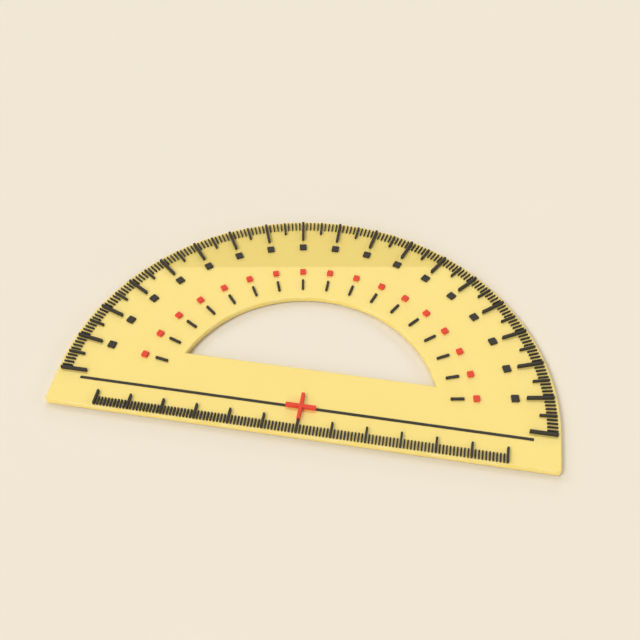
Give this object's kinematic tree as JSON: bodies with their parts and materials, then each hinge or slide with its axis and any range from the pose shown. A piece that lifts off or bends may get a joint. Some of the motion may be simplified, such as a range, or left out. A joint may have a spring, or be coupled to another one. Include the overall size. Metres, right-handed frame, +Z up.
{
  "type": "semicircular protractor",
  "caption": "Flat half-round protractor with a D-shaped window, raised degree marks and number blocks, a base line with a cross, and a centimetre ruler along its straight edge.",
  "frame": {"origin": "common centre of the two arcs in plan, on the plate's flat underside", "axes": "+X to the right along the ruler edge, +Y towards the 90 degree mark, +Z up out of the marked face"},
  "size_m": [0.15, 0.087, 0.0034],
  "materials": {
    "yellow_plastic": "smooth pale yellow, opaque, softly glossy",
    "dark_plastic": "matt charcoal, raised marks",
    "red_plastic": "matt warm red, raised marks"
  },
  "bodies": {
    "root": {"plate": "yellow_plastic", "outer_one_degree_marks": "dark_plastic", "outer_five_degree_marks": "dark_plastic", "outer_ten_degree_marks": "dark_plastic", "outer_number_blocks": "dark_plastic", "inner_ten_degree_marks": "dark_plastic", "inner_number_blocks": "red_plastic", "base_line": "dark_plastic", "origin_cross": "red_plastic", "ruler_centimetre_marks": "dark_plastic", "ruler_millimetre_marks": "dark_plastic"}
  },
  "joints": []
}
